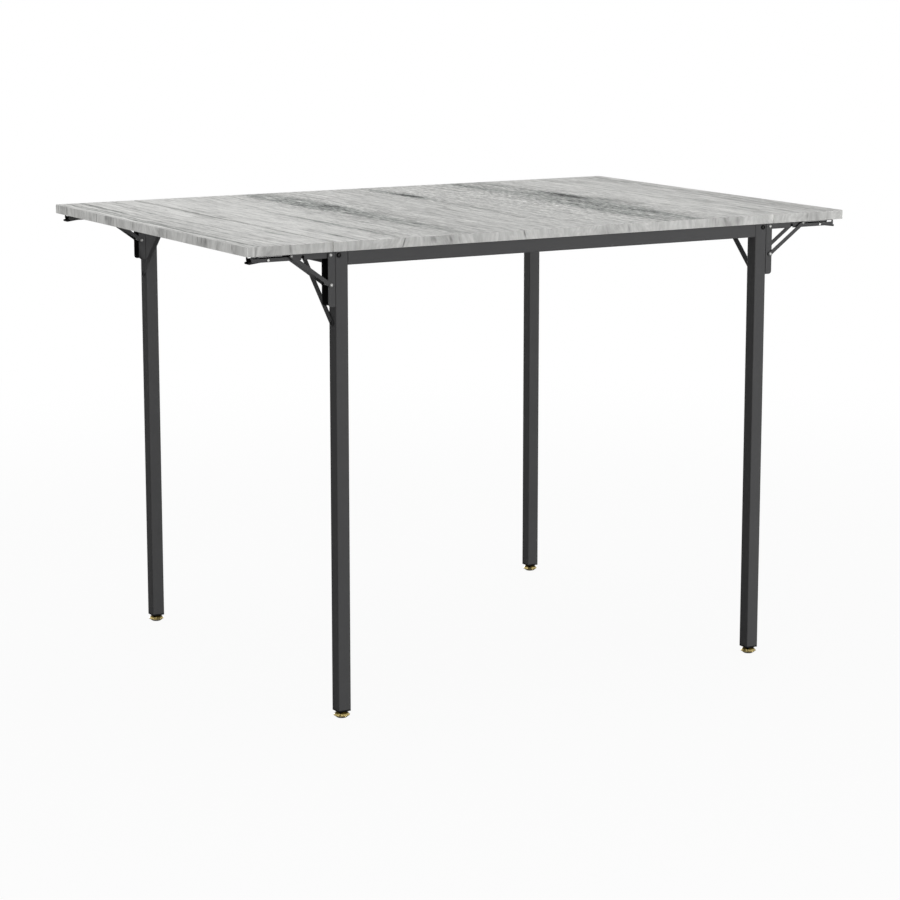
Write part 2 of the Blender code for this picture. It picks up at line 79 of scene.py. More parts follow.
# Places taken from the frame at rest
LEAF_FOLDS = joint_places("_leaf_fold")
STAY_TURNS = joint_places("_stay_turn")
PANEL_LOW, PANEL_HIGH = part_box("centre_panel")
LEAF_LOW, LEAF_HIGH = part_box("right_leaf")
TOP_END = LEAF_HIGH.x
SEAM_X = (PANEL_HIGH.x + LEAF_LOW.x) / 2
SEAM_HALF = (LEAF_LOW.x - PANEL_HIGH.x) / 2
LEG_LOW, LEG_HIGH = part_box("front_right_leg")
LEG_X = (LEG_LOW.x + LEG_HIGH.x) / 2
LEG_Y = -(LEG_LOW.y + LEG_HIGH.y) / 2
RAIL_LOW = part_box("front_rail")[0]
BRACE_LOW, BRACE_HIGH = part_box("front_right_brace")
PLATE_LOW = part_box("front_right_wall_plate")[0]
ARM_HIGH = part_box("front_right_arm")[1]
FOOT_LOW, FOOT_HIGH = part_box("front_right_levelling_foot")
FOOT_RADIUS = (FOOT_HIGH.x - FOOT_LOW.x) / 2
SPRING_LOW, SPRING_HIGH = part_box("front_right_lever_spring")
SPRING_X = (SPRING_LOW.x + SPRING_HIGH.x) / 2

# How far the pins and the stay bars reach from a bracket's middle plane, which is its leg's
ARM_PIN_REACH = -LEG_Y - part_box("front_right_arm_pin")[0].y
STAY_PIN_REACH = -LEG_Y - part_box("front_right_stay_pin")[0].y
STAY_BAR_REACH = -LEG_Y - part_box("front_right_outer_stay_bar")[0].y

# Sizes of the solids that their boxes don't give
BRACE_HALF_WIDTH = 5 * MM
PLATE_STEEL, ARM_WEB = 1.5 * MM, 1.3 * MM
STAY_HEAD_OUT, STAY_HEAD_RISE = 67 * MM, 2.3 * MM
SPRING_RADIUS, SPRING_WIRE, SPRING_TURNS = 2.2 * MM, 0.35 * MM, 3.5
FOOT_WIDEST, FOOT_NECK_TOP = 4.4 * MM, 10.9 * MM
FOOT_BASE_RADIUS, FOOT_NECK_RADIUS, FOOT_STEM_RADIUS = 7.8 * MM, 8.6 * MM, 4.0 * MM

# Half the inside width of each channel of a bracket, inside which shade is painted into the coat
CHANNELS = {"wall_plate": 9.5 * MM, "arm": 7.7 * MM, "release_lever": 7.2 * MM}

# Roundings of a foot, and the depth of its thread
FOOT_BEVEL_WIDTH, FOOT_BEVEL_HEIGHT = 0.6 * MM, 0.3 * MM
FOOT_RIM_ROUND, FOOT_SHOULDER, FOOT_STEM_BEVEL = 0.7 * MM, 0.4 * MM, 0.8 * MM
THREAD_DEPTH = 0.5 * MM

# The fasteners' heads: heights, recesses, how deep they sink, and the radii that no setting gives
LEG_BOLT_HEIGHT, LEG_BOLT_RECESS = 2.3 * MM, 1.7 * MM
BRACE_BOLT_RADIUS, BRACE_BOLT_SOCKET = 3.9 * MM, 1.9 * MM
LOWER_BOLT_HEIGHT, LOWER_BOLT_RECESS = 0.75 * MM, 0.6 * MM
UPPER_BOLT_HEIGHT, UPPER_BOLT_RECESS = 1.9 * MM, 1.4 * MM
SCREW_HEIGHT, SCREW_RECESS = 1.2 * MM, 0.8 * MM
RAIL_SCREW_HEIGHT, RAIL_SCREW_RECESS = 0.6 * MM, 0.5 * MM
SCREW_SIDES = 40
RIVET_HEIGHT = 1.35 * MM
PIN_HEAD_RADIUS, PIN_HEAD_SINK = 2.85 * MM, 1.1 * MM
STAY_RIVET_RADIUS, STAY_RIVET_SINK = 2.3 * MM, 1.0 * MM

# Where the fasteners sit
LEG_BOLT_OUT, LEG_BOLT_DROP = 4.5 * MM, 6.2 * MM
PLATE_SCREW_DROPS = (30.6 * MM, 68 * MM)
ARM_SCREWS_OUT = (18 * MM, 58 * MM, 92 * MM)
RAIL_SCREWS_X = (-0.25, 0.0, 0.25)
END_RAIL_SCREWS_Y = (-0.15, 0.15)

# How far from a face its own tone starts, and how near to it the tone is full
FACE_START, FACE_FULL = 0.5 * MM, 0.05 * MM
# At the leaves' ends and the seams' edges that tone is painted lighter, as painted light
END_START, END_FULL = 1.0 * MM, 0.4 * MM
SEAM_START, SEAM_FULL = 0.15 * MM, 0.05 * MM
# Inside the brackets' channels the coat is painted with shade
CHANNEL_SHADE_START, CHANNEL_SHADE_FULL = 0.7 * MM, 0.2 * MM

# Tones are written as they show, and this power of them is the colour
TONE_POWER = 2.2

# Spacing of the tool rings on a foot, and the heights from which a painted dark rises upwards, as a painted
# reflection of the leg, and downwards, as a painted shade at the base
TOOL_PITCH = 0.45 * MM
PAINTED_DARK_UP, PAINTED_DARK_DOWN = (6.0 * MM, 9.5 * MM), (1.6 * MM, 0.4 * MM)

# Edges that are sharper than this stay sharp
SHARP_ANGLE = math.radians(38)

# Softboxes: the place and size of each, and the point that they face
SOFTBOXES = {
    "overhead": ((-0.3, 0.5, 3.2), (3.0, 3.0)),
    "key": ((2.6, -4.4, 0.6), (3.0, 1.1)),
    "fill": ((-3.0, -1.5, 1.5), (1.6, 1.6)),
    "rear": ((0.8, 4.4, 0.35), (3.2, 0.6)),
}
SOFTBOX_AIM = (0, 0, 0.5)

# The floor's paint, and the distances over which it turns plain white
FLOOR_GREY, FLOOR_ROUGHNESS = 0.7, 0.9
FLOOR_FADE = (0.9, 3.0)

# Width of the camera's sensor in millimetres
SENSOR_WIDTH = 36

# Marks in the top's grain: x, y, half width, half length and depth of tone
GRAIN_MARKS = (
    (-0.400, 0.050, 0.1500, 0.70, 0.055),
    (-0.5465, 0.000, 0.0032, 0.50, 0.055),
    (-0.5395, -0.050, 0.0026, 0.45, -0.220),
    (-0.5310, 0.100, 0.0030, 0.26, -0.180),
    (-0.5240, -0.150, 0.0024, 0.18, -0.120),
    (-0.5135, 0.230, 0.0034, 0.26, -0.210),
    (-0.4970, -0.120, 0.0030, 0.18, -0.130),
    (-0.4740, 0.060, 0.0034, 0.36, -0.130),
    (-0.4550, 0.280, 0.0032, 0.12, -0.130),
    (-0.4305, -0.225, 0.0042, 0.055, -0.220),
    (-0.4080, 0.000, 0.0032, 0.50, -0.130),
    (-0.3970, 0.040, 0.0042, 0.03, -0.150),
    (-0.3630, -0.300, 0.0036, 0.07, -0.200),
    (-0.2960, -0.150, 0.0050, 0.26, -0.180),
    (-0.2750, -0.300, 0.0120, 0.10, -0.050),
    (-0.2350, -0.120, 0.0030, 0.14, -0.050),
    (-0.1720, 0.180, 0.0340, 0.26, -0.125),
    (-0.1960, 0.260, 0.0090, 0.20, -0.080),
    (-0.1800, -0.200, 0.0280, 0.26, -0.080),
    (-0.1570, 0.100, 0.0100, 0.05, -0.190),
    (0.0400, 0.270, 0.0120, 0.10, -0.120),
    (0.0475, 0.200, 0.0080, 0.045, -0.420),
    (0.0400, 0.000, 0.0120, 0.20, -0.060),
    (0.2250, 0.310, 0.0140, 0.10, -0.130),
    (0.2800, 0.320, 0.0100, 0.08, -0.110),
    (0.2450, -0.050, 0.0480, 0.36, -0.115),
    (0.2890, 0.080, 0.0115, 0.065, -0.450),
    (0.2820, -0.100, 0.0080, 0.10, -0.120),
    (0.3150, -0.020, 0.0150, 0.08, -0.070),
    (0.2050, -0.200, 0.0160, 0.20, -0.080),
    (0.2620, -0.270, 0.0100, 0.12, -0.120),
    (0.3850, 0.000, 0.0500, 0.50, 0.030),
    (0.4700, 0.000, 0.0500, 0.50, 0.025),
    (0.4350, -0.265, 0.0050, 0.03, -0.150),
    (0.4270, 0.300, 0.0060, 0.08, -0.050),
    (0.5250, 0.100, 0.0180, 0.50, -0.045),
)

# Where the top is speckled: x, y, half width, half length and strength
SPECKLED = (
    (0.200, 0.000, 0.1300, 0.45, 0.9),
    (0.040, 0.230, 0.0400, 0.16, 0.7),
    (-0.170, 0.140, 0.0600, 0.24, 0.7),
    (-0.280, -0.250, 0.0600, 0.16, 0.3),
)

# Marks along an edge: run, z, half width, half height and depth of tone
# The ends' edges are drawn out to the same run as the long edges
EDGE_MARKS = (
    (-0.5080, 0.7425, 0.0220, 0.030, -0.055),
    (-0.2140, 0.7425, 0.0180, 0.030, -0.065),
    (0.0850, 0.7425, 0.0220, 0.030, -0.065),
    (0.3220, 0.7425, 0.0220, 0.030, -0.065),
    (0.4950, 0.7425, 0.0180, 0.030, -0.065),
    (-0.5410, 0.7425, 0.0013, 0.012, -0.170),
    (-0.5445, 0.7425, 0.0017, 0.012, 0.060),
    (-0.5370, 0.7425, 0.0017, 0.012, 0.060),
    (-0.4822, 0.7430, 0.0026, 0.009, -0.120),
    (-0.2914, 0.7420, 0.0012, 0.009, -0.290),
    (-0.2330, 0.7460, 0.0065, 0.005, -0.110),
    (-0.2033, 0.7440, 0.0018, 0.006, -0.120),
    (-0.1887, 0.7430, 0.0018, 0.006, -0.120),
    (-0.0690, 0.7445, 0.0014, 0.006, -0.260),
    (0.1260, 0.7425, 0.0020, 0.008, -0.110),
    (0.2935, 0.7440, 0.0018, 0.007, -0.100),
    (0.3158, 0.7440, 0.0022, 0.007, -0.110),
    (0.3400, 0.7440, 0.0080, 0.006, -0.080),
    (0.4785, 0.7440, 0.0032, 0.005, -0.130),
)


class Socket:
    """One output of a node. Arithmetic on it adds Math nodes to its tree."""

    def __init__(self, sheet, output):
        self.sheet = sheet
        self.output = output

    def __add__(self, other):
        return self.sheet.maths("ADD", self, other)

    def __radd__(self, other):
        return self.sheet.maths("ADD", other, self)

    def __sub__(self, other):
        return self.sheet.maths("SUBTRACT", self, other)

    def __rsub__(self, other):
        return self.sheet.maths("SUBTRACT", other, self)

    def __mul__(self, other):
        return self.sheet.maths("MULTIPLY", self, other)

    def __rmul__(self, other):
        return self.sheet.maths("MULTIPLY", other, self)


class Sheet:
    """A node tree in the making, for a finish or for the studio's surroundings."""

    def __init__(self, owner):
        owner.use_nodes = True
        self.owner = owner
        self.tree = owner.node_tree

    def node(self, kind, settings=None, sockets=None, result=0):
        """Adds any node: its settings first, then the values or links of its sockets."""
        node = self.tree.nodes.new(kind)
        for name, value in (settings or {}).items():
            setattr(node, name, value)
        self.plug(node, sockets or {})
        return Socket(self, node.outputs[result])

    def plug(self, node, sockets):
        """Links the sockets that are given an output, and sets the others."""
        for name, value in sockets.items():
            if isinstance(value, Socket):
                self.tree.links.new(value.output, node.inputs[name])
            else:
                node.inputs[name].default_value = value

    def maths(self, operation, *values):
        return self.node("ShaderNodeMath", {"operation": operation}, dict(enumerate(values)))

    def vector(self, operation, *values, result="Vector"):
        return self.node("ShaderNodeVectorMath", {"operation": operation}, dict(enumerate(values)), result)

    def scaled(self, colour, value):
        """A colour times a number."""
        sockets = {0: colour, "Scale": value}
        return self.node("ShaderNodeVectorMath", {"operation": "SCALE"}, sockets, "Vector")

    def mixed(self, share, first, second):
        """The first colour where share is 0 and the second where it is 1.

        A Mix node has its colours at inputs 6 and 7 and at output 2.
        """
        sockets = {0: share, 6: first, 7: second}
        return self.node("ShaderNodeMix", {"data_type": "RGBA"}, sockets, 2)

    def rise(self, value, low, high):
        """Goes smoothly from 0 at low to 1 at high."""
        sockets = {"Value": value, "From Min": low, "From Max": high}
        return self.node("ShaderNodeMapRange", {"interpolation_type": "SMOOTHSTEP"}, sockets)

    def noise(self, where, per_metre, stretch=(1, 1, 1), detail=2.0, rough=0.5):
        """Noise about 0.5 with so many lumps to the metre. A small stretch draws it out along that axis."""
        sockets = {
            "Vector": self.vector("MULTIPLY", where, stretch),
            "Scale": per_metre,
            "Detail": detail,
            "Roughness": rough,
        }
        return self.node("ShaderNodeTexNoise", None, sockets, "Fac")

    def place(self):
        """Where the point is, in Object coordinates."""
        return self.node("ShaderNodeTexCoord", None, None, "Object")

    def along(self, axis, where):
        """One coordinate of a place."""
        return self.node("ShaderNodeSeparateXYZ", None, {0: where}, axis)

    def joined(self, **axes):
        """A place from its coordinates, which are 0 where they aren't given."""
        return self.node("ShaderNodeCombineXYZ", None, axes)

    def moved(self, where, **axes):
        """A place moved along the axes that are given."""
        return self.vector("ADD", where, self.joined(**axes))

    def bump(self, height, strength, distance):
        """The normal of a surface with this relief."""
        sockets = {"Strength": strength, "Distance": distance, "Height": height}
        return self.node("ShaderNodeBump", None, sockets, "Normal")


def plug_shader(sheet, values):
    """Plugs values into the Principled shader: base_color goes to Base Color, and so on."""
    sockets = {key.replace("_", " ").title().replace("Ior", "IOR"): value for key, value in values.items()}
    sheet.plug(sheet.tree.nodes["Principled BSDF"], sockets)


def new_finish(name, **constants):
    """A Principled material with the sockets that are the same all over it."""
    sheet = Sheet(bpy.data.materials.new(name))
    plug_shader(sheet, constants)
    return sheet


def finish_surface(sheet, **sockets):
    """The finished material, once what changes over the surface is plugged in."""
    plug_shader(sheet, sockets)
    return sheet.owner


def strokes(sheet, where, marks):
    """The sum of soft strokes, each its depth times exp(-(dx / width)^2 - (dy / length)^2)."""
    total = 0.0
    for x, y, width, length, depth in marks:
        fit = (1 / width, 1 / length, 0)
        away = sheet.vector("MULTIPLY_ADD", where, fit, (-x / width, -y / length, 0))
        square = sheet.vector("DOT_PRODUCT", away, away, result="Value")
        total = sheet.maths("MULTIPLY_ADD", sheet.maths("POWER", math.exp(-1), square), depth, total)
    return total


def edge_tone(sheet, where, top):
    """The tone of the panels' edges: an upright figure that leans and swirls.

    The leaves' ends and the edges inside the seams are painted lighter than the long edges, with a stronger
    figure: painted light for these sideways faces, which the lamps light less.
    """
    x, y, z = (sheet.along(axis, where) for axis in "XYZ")
    lean = (sheet.noise(where, 14, (1, 1, 0)) - 0.5) * (z - PANEL_LOW.z) * 4
    upright = sheet.noise(sheet.moved(where, X=lean, Y=lean), 210, (1, 1, 0.10), 3, 0.6)
    swirl = (sheet.noise(where, 45, (1, 1, 0.9), 2) - 0.5) * 0.030 + lean
    growth = sheet.noise(sheet.moved(where, X=swirl, Y=swirl), 75, (1, 1, 0.12), 2)

    outward = sheet.maths("ABSOLUTE", x)
    off_seam = sheet.maths("ABSOLUTE", outward - SEAM_X)
    in_seam = sheet.rise(off_seam, SEAM_HALF + SEAM_START, SEAM_HALF + SEAM_FULL)
    # The ends and the seams' edges are painted lighter, as painted light for faces the lamps light less
    on_painted_end = in_seam + sheet.rise(outward, TOP_END - END_START, TOP_END - END_FULL)
    run = x - on_painted_end * (x + y * (TOP_END / PANEL_HIGH.y))
    marks = strokes(sheet, sheet.joined(X=run + 0.9 * lean, Y=z), EDGE_MARKS)
    return (
        top.edge_brightness
        + on_painted_end * (top.end_brightness_with_painted_light - top.edge_brightness)
        + (upright - 0.5) * (0.6 * top.fibre_contrast)
        + (1 + 0.8 * on_painted_end) * ((growth - 0.5) * 0.16 + marks)
    )


def laminate_finish(top):
    """Grey wood laminate with its grain along Y, and an upright figure on its edges."""
    sheet = new_finish("grey_wood_laminate", specular_ior_level=top.gloss)
    where = sheet.place()
    wander = (sheet.noise(where, 5, (1, 0.6, 0)) - 0.5) * top.grain_wander
    ragged = (sheet.noise(where, 90, (1, 0.14, 0), 3, 0.65) - 0.5) * (0.6 * top.grain_wander)
    bent = sheet.moved(where, X=wander + ragged)

    # Grain, from the fibres to the broad changes of tone
    fibre = sheet.noise(bent, 1 / top.fibre_width, (1, 0.04, 0), 3, 0.6)
    flecks = sheet.noise(where, 0.45 / top.fibre_width, (1, 0.12, 0), 3, 0.65)
    specks = sheet.noise(where, 0.9 / top.fibre_width, (1, 0.17, 0), 1, 0.6)
    streaks = sheet.noise(bent, 0.27 / top.fibre_width, (1, 0.05, 0), 3, 0.6)
    broad = sheet.noise(bent, 9, (1, 0.14, 0), 2)
    pores = sheet.rise(flecks, 0.47, 0.27)
    speckle = 0.4 + 2.3 * strokes(sheet, where, SPECKLED)
    grain = (
        1.2 * (fibre - 0.5)
        + 0.5 * (flecks - 0.5)
        + 1.2 * (streaks - 0.5)
        + speckle * (specks - 0.5)
        - 0.3 * pores
    )

    # Thin lines that come and go, and dark bands with feathered edges
    contour = sheet.noise(bent, 16, (1, 0.05, 0), 2)
    lines = sheet.rise(sheet.maths("ABSOLUTE", contour - 0.5), 0.012, 0.0)
    faint = sheet.rise(sheet.noise(where, 6, (1, 0.5, 0)), 0.40, 0.60)
    feathered = 0.5 + sheet.rise(0.6 * flecks + 0.5 * specks + 0.4 * streaks, 0.92, 0.58)
    marks = strokes(sheet, bent, GRAIN_MARKS) * feathered * top.band_depth
    face = top.brightness + (broad - 0.5) * 0.12 + grain * top.fibre_contrast - lines * faint * 0.12 + marks

    # Upper face, edges and underside put together
    z = sheet.along("Z", where)
    on_top = sheet.rise(z, PANEL_HIGH.z - FACE_START, PANEL_HIGH.z - FACE_FULL)
    under = sheet.rise(z, PANEL_LOW.z + FACE_START, PANEL_LOW.z + FACE_FULL)
    plain = top.brightness + grain * (0.5 * top.fibre_contrast)
    edge = edge_tone(sheet, where, top)
    tone = edge + (face - edge) * on_top
    tone = tone + (plain - tone) * under
    light = sheet.maths("POWER", tone, TONE_POWER)
    cool = sheet.rise(marks, -0.05, -0.18) * on_top
    tint = sheet.mixed(cool, (*top.tint, 1), (*top.dark_tint, 1))
    return finish_surface(
        sheet,
        base_color=sheet.scaled(tint, light),
        roughness=top.roughness + (fibre - 0.5) * 0.2,
        normal=sheet.bump(fibre + flecks, 0.12, 0.2 * MM),
    )


def coat_finish(coat, name, inside=0.0):
    """Charcoal powder coat: fine orange peel, with its colour and sheen a little uneven.

    Nearer than inside to a bracket's middle plane, that of the leg, shade is painted into the coat, so the
    channels are painted dark inside.
    """
    sheet = new_finish(name, specular_ior_level=coat.gloss)
    where = sheet.place()
    peel = sheet.noise(where, 1 / coat.peel_size, detail=2)
    uneven = sheet.noise(where, 14, detail=3)
    dust = sheet.noise(where, 0.35 / coat.peel_size, detail=4, rough=0.7)
    light = 0.85 + 0.2 * uneven + 0.1 * dust
    # Painted shade: the coat is painted darker inside the brackets' channels
    if inside:
        off_leg = sheet.maths("ABSOLUTE", sheet.maths("ABSOLUTE", sheet.along("Y", where)) - LEG_Y)
        in_painted_shade = sheet.rise(off_leg, inside + CHANNEL_SHADE_START, inside + CHANNEL_SHADE_FULL)
        light = light * (1 - coat.channel_painted_shade * in_painted_shade)
    return finish_surface(
        sheet,
        base_color=sheet.scaled(tuple(coat.colour), light),
        roughness=coat.roughness + (dust - 0.5) * 0.2 + (uneven - 0.5) * 0.1,
        normal=sheet.bump(peel, 0.25, 0.06 * MM),
    )


def zinc_finish(hardware):
    """Bright zinc plate with a fine crystal grain and a few darker flecks."""
    sheet = new_finish("bright_zinc", metallic=1.0)
    where = sheet.place()
    crystal = sheet.noise(where, 1800, detail=3)
    stain = sheet.noise(where, 380, detail=3, rough=0.65)
    light = 0.82 + 0.22 * crystal + 0.14 * stain
    return finish_surface(
        sheet,
        base_color=sheet.scaled(tuple(hardware.zinc_colour), light),
        roughness=0.4 + 0.25 * stain,
        normal=sheet.bump(crystal, 0.1, 0.03 * MM),
    )


def brass_finish(hardware):
    """Turned brass: fine tool rings up the foot, tarnish in random stains, and painted dark, as a painted
    shade at its base and a painted reflection of the leg at its top.
    """
    sheet = new_finish("turned_brass", metallic=1.0)
    where = sheet.place()
    z = sheet.along("Z", where)
    tool = sheet.maths("SINE", z * (2 * math.pi / TOOL_PITCH))
    stain = sheet.noise(where, 170, detail=4, rough=0.65)
    # Painted shade at the base and a painted reflection of the dark leg near the top
    painted_dark = sheet.rise(z, *PAINTED_DARK_UP) + sheet.rise(z, *PAINTED_DARK_DOWN)
    stain_and_painted_dark = sheet.rise(stain + 0.8 * painted_dark, 0.35, 0.95)
    return finish_surface(
        sheet,
        base_color=sheet.mixed(stain_and_painted_dark, (*hardware.brass_colour, 1), (*hardware.brass_tarnish_and_painted_dark, 1)),
        roughness=0.08 + 0.12 * stain,
        normal=sheet.bump(tool, 0.5, 0.006 * MM),
    )


def plastic_finish(hardware):
    """Black moulded plastic with a fine spark-eroded grain."""
    sheet = new_finish("black_moulded_plastic", specular_ior_level=0.06)
    where = sheet.place()
    grain = sheet.noise(where, 2600, detail=2)
    scuff = sheet.noise(where, 120, (1, 1, 0.3), 4, 0.7)
    return finish_surface(
        sheet,
        base_color=sheet.scaled(tuple(hardware.plastic_colour), 0.75 + 0.5 * scuff),
        roughness=0.42 + 0.25 * scuff,
        normal=sheet.bump(grain, 0.2, 0.04 * MM),
    )


def spring_finish(hardware):
    """Drawn spring wire, bright with faint die marks."""
    sheet = new_finish("drawn_spring_wire", metallic=1.0)
    where = sheet.place()
    drawn = sheet.noise(where, 1500, (1, 1, 0.25), 3)
    return finish_surface(
        sheet,
        base_color=sheet.scaled(tuple(hardware.wire_colour), 0.8 + 0.4 * drawn),
        roughness=0.2 + 0.25 * drawn,
        normal=sheet.bump(drawn, 0.08, 0.02 * MM),
    )


def black_bolt_finish(hardware):
    """Black-oxide steel, oily and uneven."""
    sheet = new_finish("black_oxide_steel", specular_ior_level=0.12)
    where = sheet.place()
    oil = sheet.noise(where, 320, detail=4, rough=0.6)
    grain = sheet.noise(where, 2200, detail=2)
    return finish_surface(
        sheet,
        base_color=sheet.scaled(tuple(hardware.bolt_colour), 0.7 + 0.6 * oil),
        roughness=0.3 + 0.3 * oil,
        normal=sheet.bump(grain, 0.12, 0.03 * MM),
    )


def dress(material, nodes):
    """Gives every slot of the named nodes this material."""
    for name in nodes:
        slots = frame["nodes"][name].material_slots
        if not slots:
            raise RuntimeError(f"{name} has no material slot")
        for slot in slots:
            slot.material = material


def finish_of(name):
    """The material that a node was dressed in."""
    return frame["nodes"][name].material_slots[0].material


def corner_nodes(*pieces):
    """The names of these pieces' nodes at all four corners."""
    return [f"{corner}_{piece}" for corner, _, _ in CORNERS for piece in pieces]


def turns(sides):
    """Equal turns once round, one to a side."""
    return np.arange(sides) * (2 * math.pi / sides)


def skin(rows, poles):
    """A closed surface over rings of points, whose first and last rings each close on a pole."""
    count, sides = rows.shape[:2]
    points = np.concatenate([rows.reshape(-1, 3), poles])
    index = np.arange(count * sides).reshape(count, sides)
    after = np.roll(index, -1, 1)
    quads = np.stack([index[:-1], after[:-1], after[1:], index[1:]], 2).reshape(-1, 4)
    first = np.full(sides, len(points) - 2)
    last = np.full(sides, len(points) - 1)
    start = np.stack([first, after[0], index[0]], 1)
    finish = np.stack([index[-1], after[-1], last], 1)
    return points, quads, np.concatenate([start, finish])


def lathe(radii, heights, sides, outline=1.0):
    """A closed surface whose point at row k and turn t is (r cos t, r sin t, h).

    Here r is radii[k] times the outline at k and t, and h is heights[k]. Each end closes on the axis.
    """
    turn = turns(sides)
    reach = np.asarray(radii)[:, None] * np.broadcast_to(outline, (len(radii), sides))
    lift = np.repeat(np.asarray(heights)[:, None], sides, 1)
    rows = np.stack([reach * np.cos(turn), reach * np.sin(turn), lift], 2)
    return skin(rows, np.array([[0, 0, heights[0]], [0, 0, heights[-1]]]))


def stand(shape, places, outs, ups):
    """Copies of a shape, each at its place with its axis along out and its first radius along up.

    One out or one up does for all the places.
    """
    points, quads, ends = shape
    places = np.asarray(places, float)
    outs, ups = (np.broadcast_to(np.asarray(values, float), places.shape) for values in (outs, ups))
    axes = np.stack([ups, np.cross(outs, ups), outs], 1)
    copies = places[:, None] + np.einsum("vk,ckj->cvj", points, axes)
    step = (np.arange(len(places)) * len(points))[:, None, None]
    return copies.reshape(-1, 3), (quads + step).reshape(-1, 4), (ends + step).reshape(-1, 3)


def add_piece(name, shapes, material, body, stands_for=None):
    """One object at the origin made of closed shapes, riding on a body."""
    points = np.concatenate([shape[0] for shape in shapes])
    starts = np.cumsum([0] + [len(shape[0]) for shape in shapes[:-1]])
    faces = [
        face
        for start, (_, quads, ends) in zip(starts, shapes)
        for face in [*(quads + start).tolist(), *(ends + start).tolist()]
    ]
    mesh = bpy.data.meshes.new(name)
    mesh.from_pydata(points.tolist(), [], faces)
    mesh.shade_smooth()
    mesh.set_sharp_from_angle(angle=SHARP_ANGLE)
    mesh.materials.append(material)
    piece = bpy.data.objects.new(name, mesh)
    bpy.context.scene.collection.objects.link(piece)
    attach(piece, body)
    if stands_for:
        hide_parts(stands_for)
    return piece


def hexagon(turn):
    """A hexagon's radius over its inner circle's: 1 / cos of the turn from the nearest side's middle."""
    return 1 / np.cos((turn + math.pi / 6) % (math.pi / 3) - math.pi / 6)


def cross(turn):
    """A cross recess's radius over its longest: 0.42 + 0.58 |cos 2t|^2.2 at the turn t."""
    return 0.42 + 0.58 * np.abs(np.cos(2 * turn)) ** 2.2


def domed_head(radius, height, socket, depth, recess, sides=48):
    """A screw's head: a rim, a dome from the rim in to a flat, and a shaped recess in the flat.

    At bend b the dome's radius is radius cos b, and its height rises from the rim's as sin b.
    """
    flat = 1.35 * socket
    bend = np.linspace(0, math.acos(flat / radius), 7)
    rim = 0.22 * height
    lift = rim + (height - rim) * np.sin(bend) / math.sin(bend[-1])
    radii = np.concatenate([[radius, radius], radius * np.cos(bend), [socket, 0.94 * socket, 0.90 * socket]])
    heights = np.concatenate([[0, 0.6 * rim], lift, [height, height - 0.1 * depth, height - depth]])
    outline = np.ones((len(radii), sides))
    outline[-3:] = recess(turns(sides))
    return lathe(radii, heights, sides, outline)


def rivet_head(radius, height, sides=32):
    """A rivet's head: a low rim, then a dome with a flat middle.

    At the share s of the radius the dome's height is height (0.28 + 0.72 (1 - s^2)).
    """
    share = np.linspace(1, 0.3, 7)
    dome = height * (0.28 + 0.72 * (1 - share**2))
    radii = np.concatenate([[radius], radius * share, [0.22 * radius]])
    heights = np.concatenate([[0], dome, [dome[-1] - 0.06 * height]])
    return lathe(radii, heights, sides)


def head_pair(head, x, z, middle, reach):
    """Two heads that face away from each other, so far on either side of a bracket's middle plane."""
    places = [(x, middle + reach, z), (x, middle - reach, z)]
    return stand(head, places, [(0, 1, 0), (0, -1, 0)], UP)


def coil(low, high, sides=12, steps=32):
    """A spring: a round wire about the line (R cos t, R sin t, h), whose height h rises evenly with t."""
    turn = np.linspace(0, 2 * math.pi * SPRING_TURNS, int(steps * SPRING_TURNS) + 1)
    slope = (high - low) / turn[-1]
    out = np.stack([np.cos(turn), np.sin(turn), np.zeros_like(turn)], 1)
    ahead = np.stack([-np.sin(turn), np.cos(turn), np.full_like(turn, slope / SPRING_RADIUS)], 1)
    ahead /= np.linalg.norm(ahead, axis=1, keepdims=True)
    centre = SPRING_RADIUS * out + np.stack([0 * turn, 0 * turn, low + slope * turn], 1)
    around = turns(sides)[None, :, None]
    ring = np.cos(around) * out[:, None] + np.sin(around) * np.cross(ahead, out)[:, None]
    return skin(centre[:, None] + SPRING_WIRE * ring, centre[[0, -1]])


def turned_foot(pitch, sides=48):
    """A levelling foot as the solid has it: a double cone with a rounded rim, and a stem.

    The rim is half a circle in section. The upper side is hollow: at the share s of its height its radius
    has come in by s^0.85 of the way to the neck. The thread is cut into the stem: at height h and turn t
    its radius is less by depth (1 + cos(t - 2 pi h / pitch)) / 2.
    """
    base, neck, stem = FOOT_BASE_RADIUS, FOOT_NECK_RADIUS, FOOT_STEM_RADIUS
    bend = np.linspace(-1.0, 1.0, 9) * math.pi / 2
    rim_radii = FOOT_RADIUS - FOOT_RIM_ROUND * (1 - np.cos(bend))
    rim_heights = FOOT_WIDEST + FOOT_RIM_ROUND * np.sin(bend)
    rise = np.linspace(0, 1, 9)[1:]
    side_radii = rim_radii[-1] + (neck - rim_radii[-1]) * rise**0.85
    side_heights = rim_heights[-1] + (FOOT_NECK_TOP - rim_heights[-1]) * rise
    thread = np.arange(FOOT_NECK_TOP, FOOT_HIGH.z - FOOT_STEM_BEVEL, pitch / 8)
    radii = np.concatenate(
        [
            [base - FOOT_BEVEL_WIDTH, base],
            rim_radii,
            side_radii,
            [neck - FOOT_SHOULDER],
            np.full_like(thread, stem),
            [stem - FOOT_STEM_BEVEL],
        ]
    )
    heights = np.concatenate(
        [[0, FOOT_BEVEL_HEIGHT], rim_heights, side_heights, [FOOT_NECK_TOP], thread, [FOOT_HIGH.z]]
    )
    outline = np.ones((len(radii), sides))
    cut = 0.5 + 0.5 * np.cos(turns(sides) - 2 * math.pi * thread[:, None] / pitch)
    outline[-len(thread) - 1 : -1] -= (THREAD_DEPTH / stem) * cut
    return lathe(radii, heights, sides, outline)


